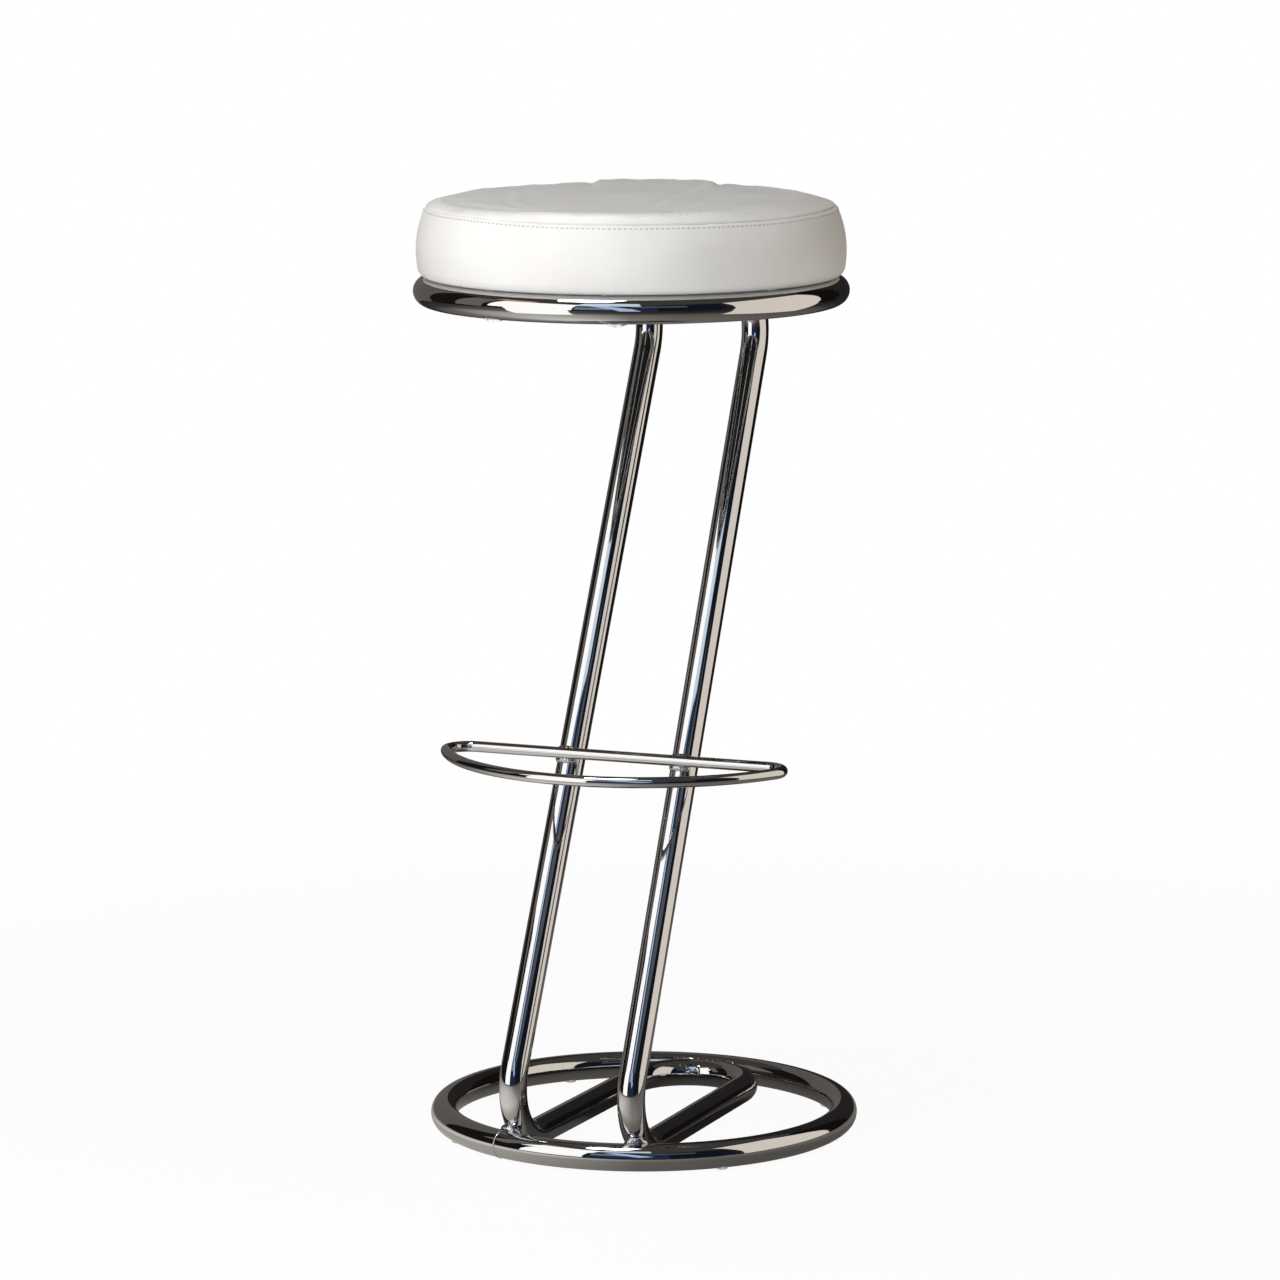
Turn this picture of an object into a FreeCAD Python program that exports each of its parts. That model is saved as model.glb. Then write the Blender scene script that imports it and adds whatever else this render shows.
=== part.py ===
"""Bar stool: a padded round seat on a bent tube frame between two steel rings.

Sizes are in millimetres. +Z is up, the footrest faces -Y, and Z = 0 is the floor.
The frame is one bent tube: two rails joined by a U bend inside the base ring, two legs
that lean back, and two arms inside the seat ring.
"""

import FreeCAD, Part
import math
import os

Vector = FreeCAD.Vector
UP = Vector(0, 0, 1)
ORIGIN = Vector(0, 0, 0)

# Steel tube and the two rings
tube_diameter = 25.0
tube_wall = 1.5
ring_radius = 183.0
seat_ring_rise = 758.0
seat_forward = 25.5

# Bent frame tube
bend_radius = 50.0
leg_half_spacing = 54.8
frame_splay = 0.87
weld_gap = 0.15

# Footrest rod, a D with its flat side across the legs
footrest_rod_diameter = 10.0
footrest_height = 351.0
footrest_arc_radius = 181.0
footrest_arc_forward = -3.5
footrest_corner_radius = 20.0

# Weld metal. The turns are degrees round the leg or the arm to each side.
weld_bead_radius = 3.6
collar_share = 2.2
rear_weld_half_length = 18.0
rear_weld_level = 0.62
footrest_bead_radius = 2.8
footrest_bead_turn = 30.0
arm_weld_off_arm = 2.6
arm_weld_off_ring = 3.0
arm_weld_gap = 0.2
arm_weld_drop = 2.0

# Butt welds of the rings: the base ring's lies beside the left front weld, and the seat
# ring's is at an angle from +X, as seen from above
seam_bead_radius = 0.8
seam_bead_height = 0.55
base_seam_spacing = 2.0
seat_seam_angle = 90.0

# Floor glides
glide_diameter = 10.0
glide_height = 1.0
glide_shoulder = 1.6
glide_edge = 0.4
glide_stem_diameter = 4.0
glide_stem_reach = 2.0
glide_count = 4
glide_first_angle = 45.0

# Plywood board under the cushion
board_inset = 1.0
board_thickness = 12.0
soft_clearance = 0.2

# Band of the upholstery: how far its skin stands out past the edge of the board, and
# how high above the top of the seat ring
cover_thickness = 1.2
tuck_overhang = 3.0
tuck_roundness = 1.1
foot_overhang = 10.6
foot_rise = 7.2
bulge_overhang = 12.1
bulge_rise = 23.0
seam_overhang = 2.5
seam_rise = 62.7
seam_groove = 0.9
hem_width = 25.0

# Crown of the upholstery, measured inwards and up from the seam
rim_shoulder_inset = 10.5
rim_shoulder_height = 6.5
rim_crest_inset = 26.5
rim_crest_height = 9.9
valley_inset = 46.5
valley_height = 9.3
crown_height = 10.9
crown_fullness = 0.25

# Lining and staples under the board, measured inwards from its edge
lining_thickness = 0.8
lining_inset = 27.0
staple_inset = 19.0
staple_count = 24
staple_width = 10.0
staple_wire = 0.7
staple_leg = 8.0
staple_clearance = 0.1

# Seat screws, washers and tee nuts
screw_diameter = 6.0
screw_hole_diameter = 6.6
screw_head_diameter = 12.0
screw_head_height = 3.6
screw_socket_width = 4.0
screw_socket_depth = 2.2
screw_clearance = 0.2
screw_front_offset = 95.0
screw_rear_offset = 85.0
washer_diameter = 16.0
washer_thickness = 1.2
tee_nut_barrel_diameter = 7.8
tee_nut_barrel_length = 9.0
tee_nut_flange_diameter = 19.0
tee_nut_flange_thickness = 1.3

# Worked out from the sizes above
tube_radius = tube_diameter / 2
rod_radius = footrest_rod_diameter / 2
base_plane = glide_height + tube_radius
seat_plane = base_plane + seat_ring_rise
base_centre = Vector(0, seat_forward / 2, base_plane)
seat_centre = Vector(0, -seat_forward / 2, seat_plane)
board_radius = ring_radius - board_inset
cover_bottom = seat_plane + tube_radius + soft_clearance
board_bottom = cover_bottom + cover_thickness
board_top = board_bottom + board_thickness
seam_radius = board_radius + seam_overhang
seam_level = cover_bottom + seam_rise
head_top = seat_plane - tube_radius - washer_thickness - 2 * weld_gap


def torus(centre, major, minor):
    """Ring of round section lying flat about a centre."""
    return Part.makeTorus(major, minor, centre, UP)


def ring_tube(centre):
    """Bent tube closed to a ring, hollow inside its wall."""
    outside = torus(centre, ring_radius, tube_radius)
    return outside.cut(torus(centre, ring_radius, tube_radius - tube_wall))


def ring_cutter(centre):
    """Solid a little fatter than a ring, which leaves the weld gap where it cuts."""
    return torus(centre, ring_radius, tube_radius + weld_gap)


def cylinder(radius, height, base, axis=UP):
    """Round bar that starts at a base point and runs along an axis."""
    return Part.makeCylinder(radius, height, base, axis)


def through(place, radius, bottom, height):
    """Upright cutter that runs past both faces of a plate."""
    return cylinder(radius, 3 * height, at_height(place, bottom - height))


def at_height(place, height):
    """The same place in plan, at a height above the floor."""
    return Vector(place.x, place.y, height)


def point_on_circle(centre, radius, angle):
    """Point of a level circle at an angle in degrees from +X."""
    turn = math.radians(angle)
    return centre + Vector(radius * math.cos(turn), radius * math.sin(turn), 0)


def arc(start, middle, end):
    """Edge along the circle through three points."""
    return Part.Arc(start, middle, end).toShape()


def line(start, end):
    """Straight edge."""
    return Part.LineSegment(start, end).toShape()


# Frame path. Each half lies in an upright plane that is splayed a little, wider at the front.
splay_sin = math.sin(math.radians(frame_splay))
splay_cos = math.cos(math.radians(frame_splay))


def frame_point(side, back, rise):
    """Point of a half frame, by its distance behind the base centre and above its plane."""
    across = side * (leg_half_spacing - back * splay_sin)
    return base_centre + Vector(across, back * splay_cos, rise)


def bend_point(side, centre_back, centre_rise, turn):
    """Point of a bend of a half frame, where turn 0 faces the back."""
    back = centre_back + bend_radius * math.cos(turn)
    return frame_point(side, back, centre_rise + bend_radius * math.sin(turn))


def gap_to_ring(point, centre):
    """Distance from a point to the centre line of a ring."""
    offset = point - centre
    return math.hypot(math.hypot(offset.x, offset.y) - ring_radius, offset.z)


def nearest_turn(centre_back, centre_rise, ring_centre, first, last):
    """Turn of the bend, between two limits, that comes closest to a ring."""
    steps = 400
    turns = [first + (last - first) * step / steps for step in range(steps + 1)]
    return min(turns, key=lambda turn: gap_to_ring(
        bend_point(1, centre_back, centre_rise, turn), ring_centre))


def bend_against_ring(centre_rise, ring_centre, outward, first, last):
    """Distance back of a bend whose tube touches a ring from inside, less the weld gap."""
    target = tube_diameter + weld_gap
    inner = ring_centre.y - base_centre.y
    outer = inner + outward * ring_radius
    for _ in range(40):
        middle = (inner + outer) / 2
        turn = nearest_turn(middle, centre_rise, ring_centre, first, last)
        if gap_to_ring(bend_point(1, middle, centre_rise, turn), ring_centre) > target:
            inner = middle
        else:
            outer = middle
    return inner


lower_rise = bend_radius
upper_rise = seat_ring_rise - bend_radius
lower_back = bend_against_ring(lower_rise, base_centre, -1, -math.pi, -math.pi / 2)
upper_back = bend_against_ring(upper_rise, seat_centre, 1, 0.0, math.pi / 2)

# The leg is the straight line that touches both bends, passing between them
centres_back = upper_back - lower_back
centres_rise = upper_rise - lower_rise
centres_apart = math.hypot(centres_back, centres_rise)
leg_lean = math.atan2(centres_back, centres_rise) + math.asin(2 * bend_radius / centres_apart)
lean_sin = math.sin(leg_lean)
lean_cos = math.cos(leg_lean)
leg_foot_back = lower_back - bend_radius * lean_cos
leg_foot_rise = lower_rise + bend_radius * lean_sin
leg_top_back = upper_back + bend_radius * lean_cos
leg_top_rise = upper_rise - bend_radius * lean_sin
bend_turn = math.pi / 2 - leg_lean

# The U bend touches the back of the base ring from inside
ring_bore = ring_radius - tube_diameter - weld_gap
rail_end_back = ring_bore * splay_cos / (1 - splay_sin) - leg_half_spacing
rail_end = frame_point(1, rail_end_back, 0)
u_bend_radius = rail_end.x / splay_cos
u_bend_centre = Vector(0, rail_end.y - u_bend_radius * splay_sin, base_plane)

# The arms end in the middle of the front of the seat ring, and are cut to its wall
arm_end_back = -math.sqrt(ring_radius ** 2 - leg_half_spacing ** 2) - seat_forward


def half_frame_edges(side):
    """Edges of one half, from the front end of the arm down to the end of the rail."""
    arm_front = frame_point(side, arm_end_back, seat_ring_rise)
    arm_back = frame_point(side, upper_back, seat_ring_rise)
    leg_top = frame_point(side, leg_top_back, leg_top_rise)
    leg_foot = frame_point(side, leg_foot_back, leg_foot_rise)
    rail_front = frame_point(side, lower_back, 0)
    rail_back = frame_point(side, rail_end_back, 0)
    upper_middle = bend_point(side, upper_back, upper_rise, bend_turn / 2)
    lower_middle = bend_point(side, lower_back, lower_rise, math.pi + bend_turn / 2)
    return [
        line(arm_front, arm_back),
        arc(arm_back, upper_middle, leg_top),
        line(leg_top, leg_foot),
        arc(leg_foot, lower_middle, rail_front),
        line(rail_front, rail_back),
    ]


def frame_wire():
    """Whole centre line of the frame tube, from one arm end to the other."""
    left_rail = frame_point(-1, rail_end_back, 0)
    u_back = u_bend_centre + Vector(0, u_bend_radius, 0)
    left = half_frame_edges(-1)
    right = half_frame_edges(1)
    return Part.Wire(left + [arc(left_rail, u_back, rail_end)] + list(reversed(right)))


def swept(wire, radius):
    """Round bar of a radius along a wire of tangent lines and arcs."""
    first_edge = wire.OrderedEdges[0]
    direction = first_edge.tangentAt(first_edge.FirstParameter)
    start = wire.OrderedVertexes[0].Point
    profile = Part.Wire([Part.Circle(start, direction, radius).toShape()])
    return wire.makePipeShell([profile], True, False)


frame_path = frame_wire()
frame_bar = swept(frame_path, tube_radius)
frame_cutter = swept(frame_path, tube_radius + weld_gap)
base_ring_cutter = ring_cutter(base_centre)
seat_ring_cutter = ring_cutter(seat_centre)


def arm_across(side, offset):
    """Sideways place of an arm, at a distance behind the seat centre."""
    return frame_point(side, offset - seat_forward, seat_ring_rise).x


screw_places = [
    Vector(arm_across(side, offset), seat_centre.y + offset, 0)
    for side in (-1, 1)
    for offset in (-screw_front_offset, screw_rear_offset)
]


def glide_places():
    """Places of the glides under the centre line of the base ring."""
    return [
        point_on_circle(base_centre, ring_radius, glide_first_angle + 360 * index / glide_count)
        for index in range(glide_count)
    ]


def base_ring():
    """Floor ring, drilled underneath for the stems of the glides."""
    ring = ring_tube(base_centre)
    for place in glide_places():
        hole_radius = glide_stem_diameter / 2 + weld_gap
        ring = ring.cut(cylinder(hole_radius, tube_radius, at_height(place, 0)))
    return ring


def seat_ring():
    """Ring that carries the board, level with the arms."""
    return ring_tube(seat_centre)


def frame_tube():
    """Bent tube of the legs, coped to the seat ring and drilled for the seat screws."""
    tube = frame_bar.cut(swept(frame_path, tube_radius - tube_wall))
    tube = tube.cut(seat_ring_cutter)
    for place in screw_places:
        start = at_height(place, seat_plane - tube_diameter)
        tube = tube.cut(cylinder(screw_hole_diameter / 2, 2 * tube_diameter, start))
    return tube


# Footrest path. Its rod touches the front of both legs.
footrest_rise = footrest_height - base_plane
leg_back_at_footrest = (leg_foot_back
                        + (footrest_rise - leg_foot_rise) * lean_sin / lean_cos)
rod_stand_off = tube_radius + rod_radius + weld_gap
chord_back = leg_back_at_footrest - rod_stand_off / lean_cos


def footrest_corner(side, corner, arc_centre):
    """Start, middle and end of a rounded corner, from the flat side to the long arc."""
    turn = math.atan2(corner.y - arc_centre.y, corner.x)

    def around(centre, radius, angle):
        return centre + Vector(radius * math.cos(angle), radius * math.sin(angle), 0)

    points = [
        around(corner, footrest_corner_radius, math.pi / 2),
        around(corner, footrest_corner_radius, (math.pi / 2 + turn) / 2),
        around(arc_centre, footrest_arc_radius, turn),
    ]
    return [Vector(side * point.x, point.y, point.z) for point in points]


def footrest_loop():
    """Round rod bent to a D, flat side against the legs."""
    arc_centre = Vector(0, base_centre.y - footrest_arc_forward, footrest_height)
    chord_y = base_centre.y + chord_back
    corner_y = chord_y - footrest_corner_radius
    reach = footrest_arc_radius - footrest_corner_radius
    corner_x = math.sqrt(reach ** 2 - (corner_y - arc_centre.y) ** 2)
    corner = Vector(corner_x, corner_y, footrest_height)
    right = footrest_corner(1, corner, arc_centre)
    left = footrest_corner(-1, corner, arc_centre)
    start = Vector(0, chord_y, footrest_height)
    front = arc_centre - Vector(0, footrest_arc_radius, 0)
    wire = Part.Wire([
        line(start, right[0]),
        arc(right[0], right[1], right[2]),
        arc(right[2], front, left[2]),
        arc(left[2], left[1], left[0]),
        line(left[0], start),
    ])
    return swept(wire, rod_radius)


def both_sides(shape):
    """Solids of the right half together with their mirror images."""
    mirrored = shape.mirror(ORIGIN, Vector(1, 0, 0))
    return Part.makeCompound(shape.Solids + mirrored.Solids)


def cut_back(bead, cutters):
    """Bead of weld metal, cut back from the tubes that it joins, without its crumbs."""
    for cutter in cutters:
        bead = bead.cut(cutter)
    largest = max(solid.Volume for solid in bead.Solids)
    return Part.makeCompound([solid for solid in bead.Solids if solid.Volume > largest / 4])


def raw_bead(points, radius):
    """Round bead along the arc through three points, with round ends."""
    bead = swept(Part.Wire([arc(*points)]), radius)
    return bead.fuse([Part.makeSphere(radius, point) for point in (points[0], points[-1])])


def bend_contact(centre_back, centre_rise, ring_centre, first, last):
    """Where the right bend touches a ring: the nearest points of their centre lines."""
    turn = nearest_turn(centre_back, centre_rise, ring_centre, first, last)
    on_bend = bend_point(1, centre_back, centre_rise, turn)
    flat = Vector(on_bend.x - ring_centre.x, on_bend.y - ring_centre.y, 0)
    flat.multiply(ring_radius / flat.Length)
    return on_bend, ring_centre + flat


base_contact = bend_contact(lower_back, lower_rise, base_centre, -math.pi, -math.pi / 2)
seat_contact = bend_contact(upper_back, upper_rise, seat_centre, 0.0, math.pi / 2)


def collar(on_bend, on_ring, growth):
    """Round cake of weld metal between a bend and the ring that it touches."""
    middle = (on_bend + on_ring) * 0.5
    axis = on_bend - on_ring
    reach = collar_share * weld_bead_radius
    edge_radius = weld_bead_radius + growth
    rim = Part.makeTorus(reach, edge_radius, middle, axis)
    core = cylinder(reach, 2 * edge_radius, middle - axis * (edge_radius / axis.Length), axis)
    return rim.fuse(core)


def contact_bead(contact, ring_cutter):
    """Weld that shows round the contact once the two tubes are cut out of it."""
    return cut_back(collar(*contact, 0), (ring_cutter, frame_cutter))


def base_front_welds():
    """Welds where the lower bends touch the front of the base ring."""
    return both_sides(contact_bead(base_contact, base_ring_cutter))


def seat_rear_welds():
    """Welds where the upper bends touch the back of the seat ring."""
    return both_sides(contact_bead(seat_contact, seat_ring_cutter))


def base_rear_welds():
    """Beads above and below the place where the U bend touches the base ring."""
    beads = []
    contact_radius = ring_radius - tube_radius
    spread = math.degrees(rear_weld_half_length / contact_radius)
    for level in (-1, 1):
        offset = Vector(0, 0, level * rear_weld_level * tube_radius)
        points = [
            point_on_circle(base_centre, contact_radius, 90 + angle) + offset
            for angle in (-spread, 0, spread)
        ]
        bead = raw_bead(points, weld_bead_radius)
        beads.extend(cut_back(bead, (base_ring_cutter, frame_cutter)).Solids)
    return Part.makeCompound(beads)


def seat_front_welds():
    """Fillets of weld metal round the lower half of each arm end, inside the seat ring."""
    arm_front = frame_point(1, arm_end_back, seat_ring_rise)
    arm_line = frame_point(1, upper_back, seat_ring_rise) - arm_front
    arm_line.normalize()
    near_arm = cylinder(tube_radius + arm_weld_off_arm, tube_diameter, arm_front, arm_line)
    near_ring = torus(seat_centre, ring_radius, tube_radius + arm_weld_off_ring)
    arm_cutter = cylinder(tube_radius + arm_weld_gap, 3 * tube_diameter,
                          arm_front - arm_line * tube_diameter, arm_line)
    corner = Vector(arm_front.x - tube_diameter, arm_front.y - tube_diameter,
                    seat_plane - arm_weld_drop - tube_diameter)
    lower_half = Part.makeBox(2 * tube_diameter, 3 * tube_diameter, tube_diameter, corner)
    weld = near_arm.common(near_ring).cut(arm_cutter).cut(seat_ring_cutter)
    return both_sides(weld.common(lower_half))


def footrest_welds():
    """Beads above and below the rod where it crosses each leg."""
    rod_start = Vector(-2 * leg_half_spacing, base_centre.y + chord_back, footrest_height)
    rod_cutter = cylinder(rod_radius + weld_gap, 4 * leg_half_spacing, rod_start,
                          Vector(1, 0, 0))
    outward = Vector(0, -lean_cos, lean_sin)
    along = Vector(0, lean_sin, lean_cos)
    rod_point = frame_point(1, chord_back, footrest_rise)
    leg_axis = rod_point - outward * rod_stand_off
    reach = tube_radius + footrest_bead_radius / 2
    half_turn = math.radians(footrest_bead_turn)
    beads = []
    for level in (-1, 1):
        offset = along * (level * (rod_radius + weld_gap / 2))
        points = [
            leg_axis + offset + outward * (reach * math.cos(turn))
            + Vector(reach * math.sin(turn), 0, 0)
            for turn in (-half_turn, 0, half_turn)
        ]
        bead = cut_back(raw_bead(points, footrest_bead_radius), (frame_cutter, rod_cutter))
        beads.extend(both_sides(bead).Solids)
    return Part.makeCompound(beads)


def ring_seam_welds():
    """Butt weld where the ends of each ring meet, a low bead round the tube."""
    beads = []
    front_welds = both_sides(collar(*base_contact, weld_gap))
    sunk = seam_bead_radius - seam_bead_height
    left_weld = math.degrees(math.atan2(base_contact[1].y - base_centre.y, -base_contact[1].x))
    base_seam_angle = left_weld - math.degrees(base_seam_spacing / ring_radius)
    for centre, angle in ((base_centre, base_seam_angle), (seat_centre, seat_seam_angle)):
        place = point_on_circle(centre, ring_radius, angle)
        turn = math.radians(angle)
        along = Vector(-math.sin(turn), math.cos(turn), 0)
        bead = Part.makeTorus(tube_radius - sunk, seam_bead_radius, place, along)
        start = place - along * (2 * seam_bead_radius)
        bore = cylinder(tube_radius + weld_gap, 4 * seam_bead_radius, start, along)
        beads.extend(cut_back(bead.cut(bore), [front_welds]).Solids)
    return Part.makeCompound(beads)


def floor_glides():
    """Low plastic buttons under the base ring, each with a stem pressed into the tube."""
    glides = []
    button_radius = glide_diameter / 2
    stem_height = glide_height + tube_wall + glide_stem_reach
    for place in glide_places():
        foot = at_height(place, 0)
        bevel = Part.makeCone(button_radius - glide_edge, button_radius, glide_edge, foot)
        above = at_height(place, glide_edge)
        side = cylinder(button_radius, glide_height + glide_shoulder - glide_edge, above)
        button = bevel.fuse(side)
        button = button.cut(torus(base_centre, ring_radius, tube_radius + weld_gap / 2))
        stem = cylinder(glide_stem_diameter / 2, stem_height, foot)
        glides.append(button.fuse(stem).removeSplitter())
    return Part.makeCompound(glides)


def skin_profile(inset):
    """Crown and band of the cushion, drawn in by an inset, in the XZ plane."""
    facing_up = (0.0, 1.0)
    facing_out = (1.0, 0.0)
    shoulder_facing = (0.6, 0.8)
    seam_facing = (1.0, 0.6)

    def spot(radius, level, facing):
        return Vector(radius - inset * facing[0], 0, level - inset * facing[1])

    def halfway(inner, outer):
        return (inner + outer) * 0.5 + Vector(0, 0, crown_fullness)

    top = spot(0, seam_level + crown_height, facing_up)
    valley = spot(seam_radius - valley_inset, seam_level + valley_height, facing_up)
    crest = spot(seam_radius - rim_crest_inset, seam_level + rim_crest_height, facing_up)
    shoulder = spot(seam_radius - rim_shoulder_inset, seam_level + rim_shoulder_height,
                    shoulder_facing)
    seam = spot(seam_radius, seam_level, seam_facing)
    bulge = spot(board_radius + bulge_overhang, cover_bottom + bulge_rise, facing_out)
    foot = spot(board_radius + foot_overhang, cover_bottom + foot_rise, facing_out)
    return [
        arc(top, halfway(top, valley), valley),
        arc(valley, halfway(valley, crest), crest),
        arc(crest, shoulder, seam),
        arc(seam, bulge, foot),
    ], top, foot


def revolved(edges):
    """Solid of revolution of a closed outline about the seat axis."""
    face = Part.Face(Part.Wire(edges))
    solid = face.revolve(ORIGIN, UP, 360)
    solid.translate(Vector(seat_centre.x, seat_centre.y, 0))
    return solid


def cushion_body(inset):
    """Closed cushion form whose lower edge rounds in to the tuck."""
    edges, top, foot = skin_profile(inset)
    tuck = Vector(board_radius + tuck_overhang - inset, 0, cover_bottom + inset)
    rounding = (foot + tuck) * 0.5 + Vector(tuck_roundness, 0, -tuck_roundness)
    centre = Vector(0, 0, cover_bottom + inset)
    return revolved(edges + [arc(foot, rounding, tuck), line(tuck, centre), line(centre, top)])


def disc(radius, thickness, bottom):
    """Flat round plate about the seat axis."""
    return cylinder(radius, thickness, at_height(seat_centre, bottom))


def cover():
    """Sewn cover as one skin: crown, band, and the hem that is pulled under the board."""
    outside = cushion_body(0)
    inside = cushion_body(cover_thickness)
    opening = disc(board_radius - hem_width, 2 * cover_thickness, cover_bottom - cover_thickness)
    groove_centre = at_height(seat_centre, seam_level)
    groove = torus(groove_centre, seam_radius + seam_groove / 3, seam_groove)
    return outside.cut([inside, opening, groove])


def above_seam():
    """Everything above the cone on which the crown meets the band."""
    reach = 2 * cover_thickness
    height = 2 * crown_height + reach
    low = disc(seam_radius - reach, height, seam_level - reach)
    cone = Part.makeCone(seam_radius - reach, seam_radius + reach, 2 * reach,
                         at_height(seat_centre, seam_level - reach))
    high = disc(seam_radius + reach, height, seam_level + reach)
    return low.fuse(cone).fuse(high)


def cover_top_panel():
    """Round crown of the cover, sewn to the band."""
    return cover().common(above_seam())


def cover_side_band():
    """Band of the cover with its hem, pierced by the staples."""
    return cover().cut([above_seam()] + staple_cutters())


def seat_foam():
    """Foam that fills the cover above and round the board."""
    body = cushion_body(cover_thickness + soft_clearance)
    foam = body.cut(disc(board_radius + soft_clearance, board_thickness + soft_clearance,
                         board_bottom))
    flange_radius = tee_nut_flange_diameter / 2 + soft_clearance
    flange_room = tee_nut_flange_thickness + 2 * soft_clearance
    for place in screw_places:
        foam = foam.cut(cylinder(flange_radius, flange_room, at_height(place, board_top)))
    return foam


def seat_board():
    """Plywood disc with holes for the tee nuts and the staple legs."""
    board = disc(board_radius, board_thickness, board_bottom)
    bore_radius = tee_nut_barrel_diameter / 2 + staple_clearance
    bores = [
        through(place, bore_radius, board_bottom, board_thickness) for place in screw_places
    ]
    return board.cut(bores + staple_cutters())


def underside_lining():
    """Thin black cloth that closes the underside of the board."""
    bottom = board_bottom - lining_thickness
    lining = disc(board_radius - lining_inset, lining_thickness, bottom)
    for place in screw_places:
        lining = lining.cut(through(place, screw_hole_diameter / 2, bottom, lining_thickness))
    return lining


def staple_shape(angle, growth):
    """One staple, driven up through the hem, with its wire grown for a cutter."""
    size = staple_wire + 2 * growth
    top = board_bottom - cover_thickness + staple_leg
    bottom = board_bottom - cover_thickness - staple_wire
    shape = Part.makeBox(size, staple_width + 2 * growth, size,
                         Vector(-size / 2, -staple_width / 2 - growth, bottom - growth))
    for end in (-1, 1):
        y = end * (staple_width - staple_wire) / 2 - size / 2
        leg = Part.makeBox(size, size, top - bottom + growth,
                           Vector(-size / 2, y, bottom))
        shape = shape.fuse(leg)
    shape = shape.removeSplitter()
    shape.translate(Vector(board_radius - staple_inset, 0, 0))
    shape.rotate(ORIGIN, UP, angle)
    shape.translate(Vector(seat_centre.x, seat_centre.y, 0))
    return shape


def staple_angles():
    """Even turns round the seat, half a step from the symmetry plane."""
    return [360 * (index + 0.5) / staple_count for index in range(staple_count)]


def staple_cutters():
    """Room for every staple in what it is driven through."""
    return [staple_shape(angle, staple_clearance) for angle in staple_angles()]


def cover_staples():
    """Ring of staples that holds the hem."""
    return Part.makeCompound([staple_shape(angle, 0) for angle in staple_angles()])


def tee_nuts():
    """Tee nuts pressed into the board from above, with a clear bore for the screws."""
    nuts = []
    bore_radius = (screw_diameter + screw_clearance) / 2
    for place in screw_places:
        flange = cylinder(tee_nut_flange_diameter / 2, tee_nut_flange_thickness,
                          at_height(place, board_top))
        barrel = cylinder(tee_nut_barrel_diameter / 2, tee_nut_barrel_length,
                          at_height(place, board_top - tee_nut_barrel_length))
        nut = flange.fuse(barrel).cut(through(place, bore_radius, board_bottom,
                                              board_thickness))
        nuts.append(nut.removeSplitter())
    return Part.makeCompound(nuts)


def screw_washers():
    """Plain washers between the screw heads and the arms."""
    washers = []
    bottom = head_top + weld_gap
    for place in screw_places:
        plate = cylinder(washer_diameter / 2, washer_thickness, at_height(place, bottom))
        washers.append(plate.cut(through(place, screw_hole_diameter / 2, bottom,
                                         washer_thickness)))
    return Part.makeCompound(washers)


def seat_screws():
    """Button head screws through the arms into the tee nuts."""
    screws = []
    for place in screw_places:
        foot = at_height(place, head_top - screw_head_height)
        head = cylinder(screw_head_diameter / 2, screw_head_height, foot)
        lowest = min(head.Edges, key=lambda edge: edge.BoundBox.ZMax)
        head = head.makeFillet(screw_head_height / 2, [lowest])
        shank = cylinder(screw_diameter / 2, board_top - head_top, at_height(place, head_top))
        corners = [
            point_on_circle(foot, screw_socket_width / math.sqrt(3), 60 * index)
            for index in range(6)
        ]
        outline = Part.makePolygon(corners + corners[:1])
        socket = Part.Face(outline).extrude(Vector(0, 0, screw_socket_depth))
        screws.append(head.fuse(shank).cut(socket))
    return Part.makeCompound(screws)


nodes = {
    "base_ring": base_ring,
    "frame_tube": frame_tube,
    "seat_ring": seat_ring,
    "footrest_loop": footrest_loop,
    "base_front_welds": base_front_welds,
    "base_rear_welds": base_rear_welds,
    "seat_front_welds": seat_front_welds,
    "seat_rear_welds": seat_rear_welds,
    "footrest_welds": footrest_welds,
    "ring_seam_welds": ring_seam_welds,
    "floor_glides": floor_glides,
    "seat_board": seat_board,
    "seat_foam": seat_foam,
    "cover_top_panel": cover_top_panel,
    "cover_side_band": cover_side_band,
    "underside_lining": underside_lining,
    "cover_staples": cover_staples,
    "tee_nuts": tee_nuts,
    "seat_screws": seat_screws,
    "screw_washers": screw_washers,
}

os.makedirs("parts", exist_ok=True)
for name, make in nodes.items():
    shape = make()
    shape.exportStep("parts/" + name + ".step")
    box = shape.BoundBox
    print(name, "solids", len(shape.Solids), "valid", shape.isValid(),
          "volume", round(shape.Volume), "z", round(box.ZMin, 2), round(box.ZMax, 2))
print("leg lean", round(math.degrees(leg_lean), 2), "chord back", round(chord_back, 2))
print("bends back", round(lower_back, 2), round(upper_back, 2), "U bend", round(u_bend_radius, 2))
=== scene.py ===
"""Bar stool with a white leather seat on a chrome tube frame, with its floor, light and camera.

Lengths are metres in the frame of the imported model: +Z is up and the footrest faces -Y.
"""

import logging
import math
from dataclasses import dataclass, field
from enum import Enum

import bpy
import numpy as np
from mathutils import Matrix, Vector
from mathutils.bvhtree import BVHTree


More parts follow.
